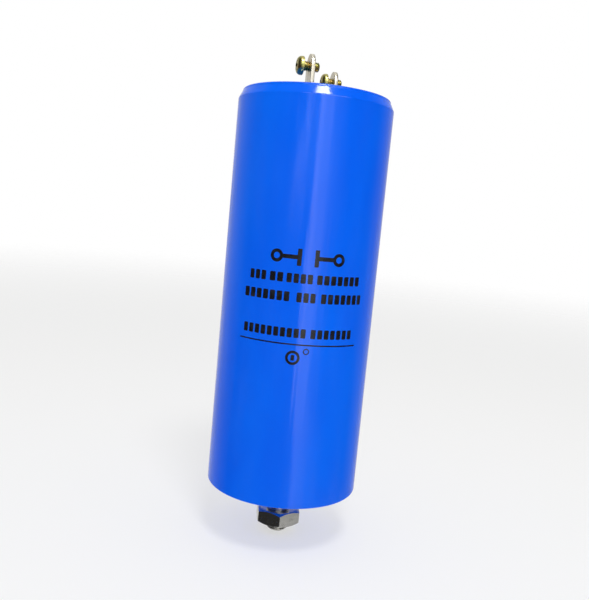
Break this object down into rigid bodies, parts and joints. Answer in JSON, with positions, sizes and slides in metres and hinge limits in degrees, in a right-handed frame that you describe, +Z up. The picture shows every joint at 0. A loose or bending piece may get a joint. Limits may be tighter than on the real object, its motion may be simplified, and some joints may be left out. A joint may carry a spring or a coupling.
{
  "type": "motor run capacitor",
  "caption": "Round blue motor run capacitor in a moulded case, with a threaded mounting stud and nut below and tab terminals with wire screws on its lid.",
  "frame": {"origin": "middle of the case's flat seating face, where the stud comes out", "axes": "+Z up the case's axis from the stud to the terminals; X along the terminal screws, whose heads point to -X"},
  "size_m": [0.05, 0.05, 0.1563],
  "materials": {
    "blue_case": "glossy moulded polypropylene",
    "plated_steel": "bright nickel plated",
    "tinned_brass": "bright tin plated",
    "yellow_zinc": "yellow passivated zinc plate",
    "pad_board": "pressed board",
    "core_plastic": "moulded",
    "metallised_film": "wound metallised film",
    "sprayed_zinc": "arc sprayed, rough",
    "wrap_tape": "clear polyester tape",
    "lead_wire": "tinned copper wire",
    "sleeve_pvc": "soft sleeve",
    "solder": "solder bead",
    "resin": "cast resin"
  },
  "bodies": {
    "capacitor": {"case": "blue_case", "lid": "blue_case", "mounting_stud": "plated_steel", "front_terminal": "tinned_brass", "rear_terminal": "tinned_brass", "front_rivet": "tinned_brass", "rear_rivet": "tinned_brass", "front_solder_lug": "tinned_brass", "rear_solder_lug": "tinned_brass", "base_pad": "pad_board", "winding_core": "core_plastic", "film_winding": "metallised_film", "lower_end_spray": "sprayed_zinc", "upper_end_spray": "sprayed_zinc", "winding_wrap": "wrap_tape", "short_lead": "lead_wire", "long_lead": "lead_wire", "short_lead_sleeve": "sleeve_pvc", "long_lead_sleeve": "sleeve_pvc", "upper_foot_solder": "solder", "lower_foot_solder": "solder", "front_lug_solder": "solder", "rear_lug_solder": "solder", "potting_resin": "resin"},
    "mounting_nut": {"mounting_nut": "plated_steel"},
    "front_screw": {"front_terminal_screw": "yellow_zinc"},
    "rear_screw": {"rear_terminal_screw": "yellow_zinc"}
  },
  "joints": [
    {"name": "nut_travel", "type": "slide", "parent": "capacitor", "child": "mounting_nut", "axis": [0, 0, 1], "range_m": [-0.00595, 0.00755]},
    {"name": "front_screw_travel", "type": "slide", "parent": "capacitor", "child": "front_screw", "axis": [1, 0, 0], "range_m": [-0.0027, 0.0018]},
    {"name": "rear_screw_travel", "type": "slide", "parent": "capacitor", "child": "rear_screw", "axis": [1, 0, 0], "range_m": [-0.0027, 0.0018]}
  ]
}
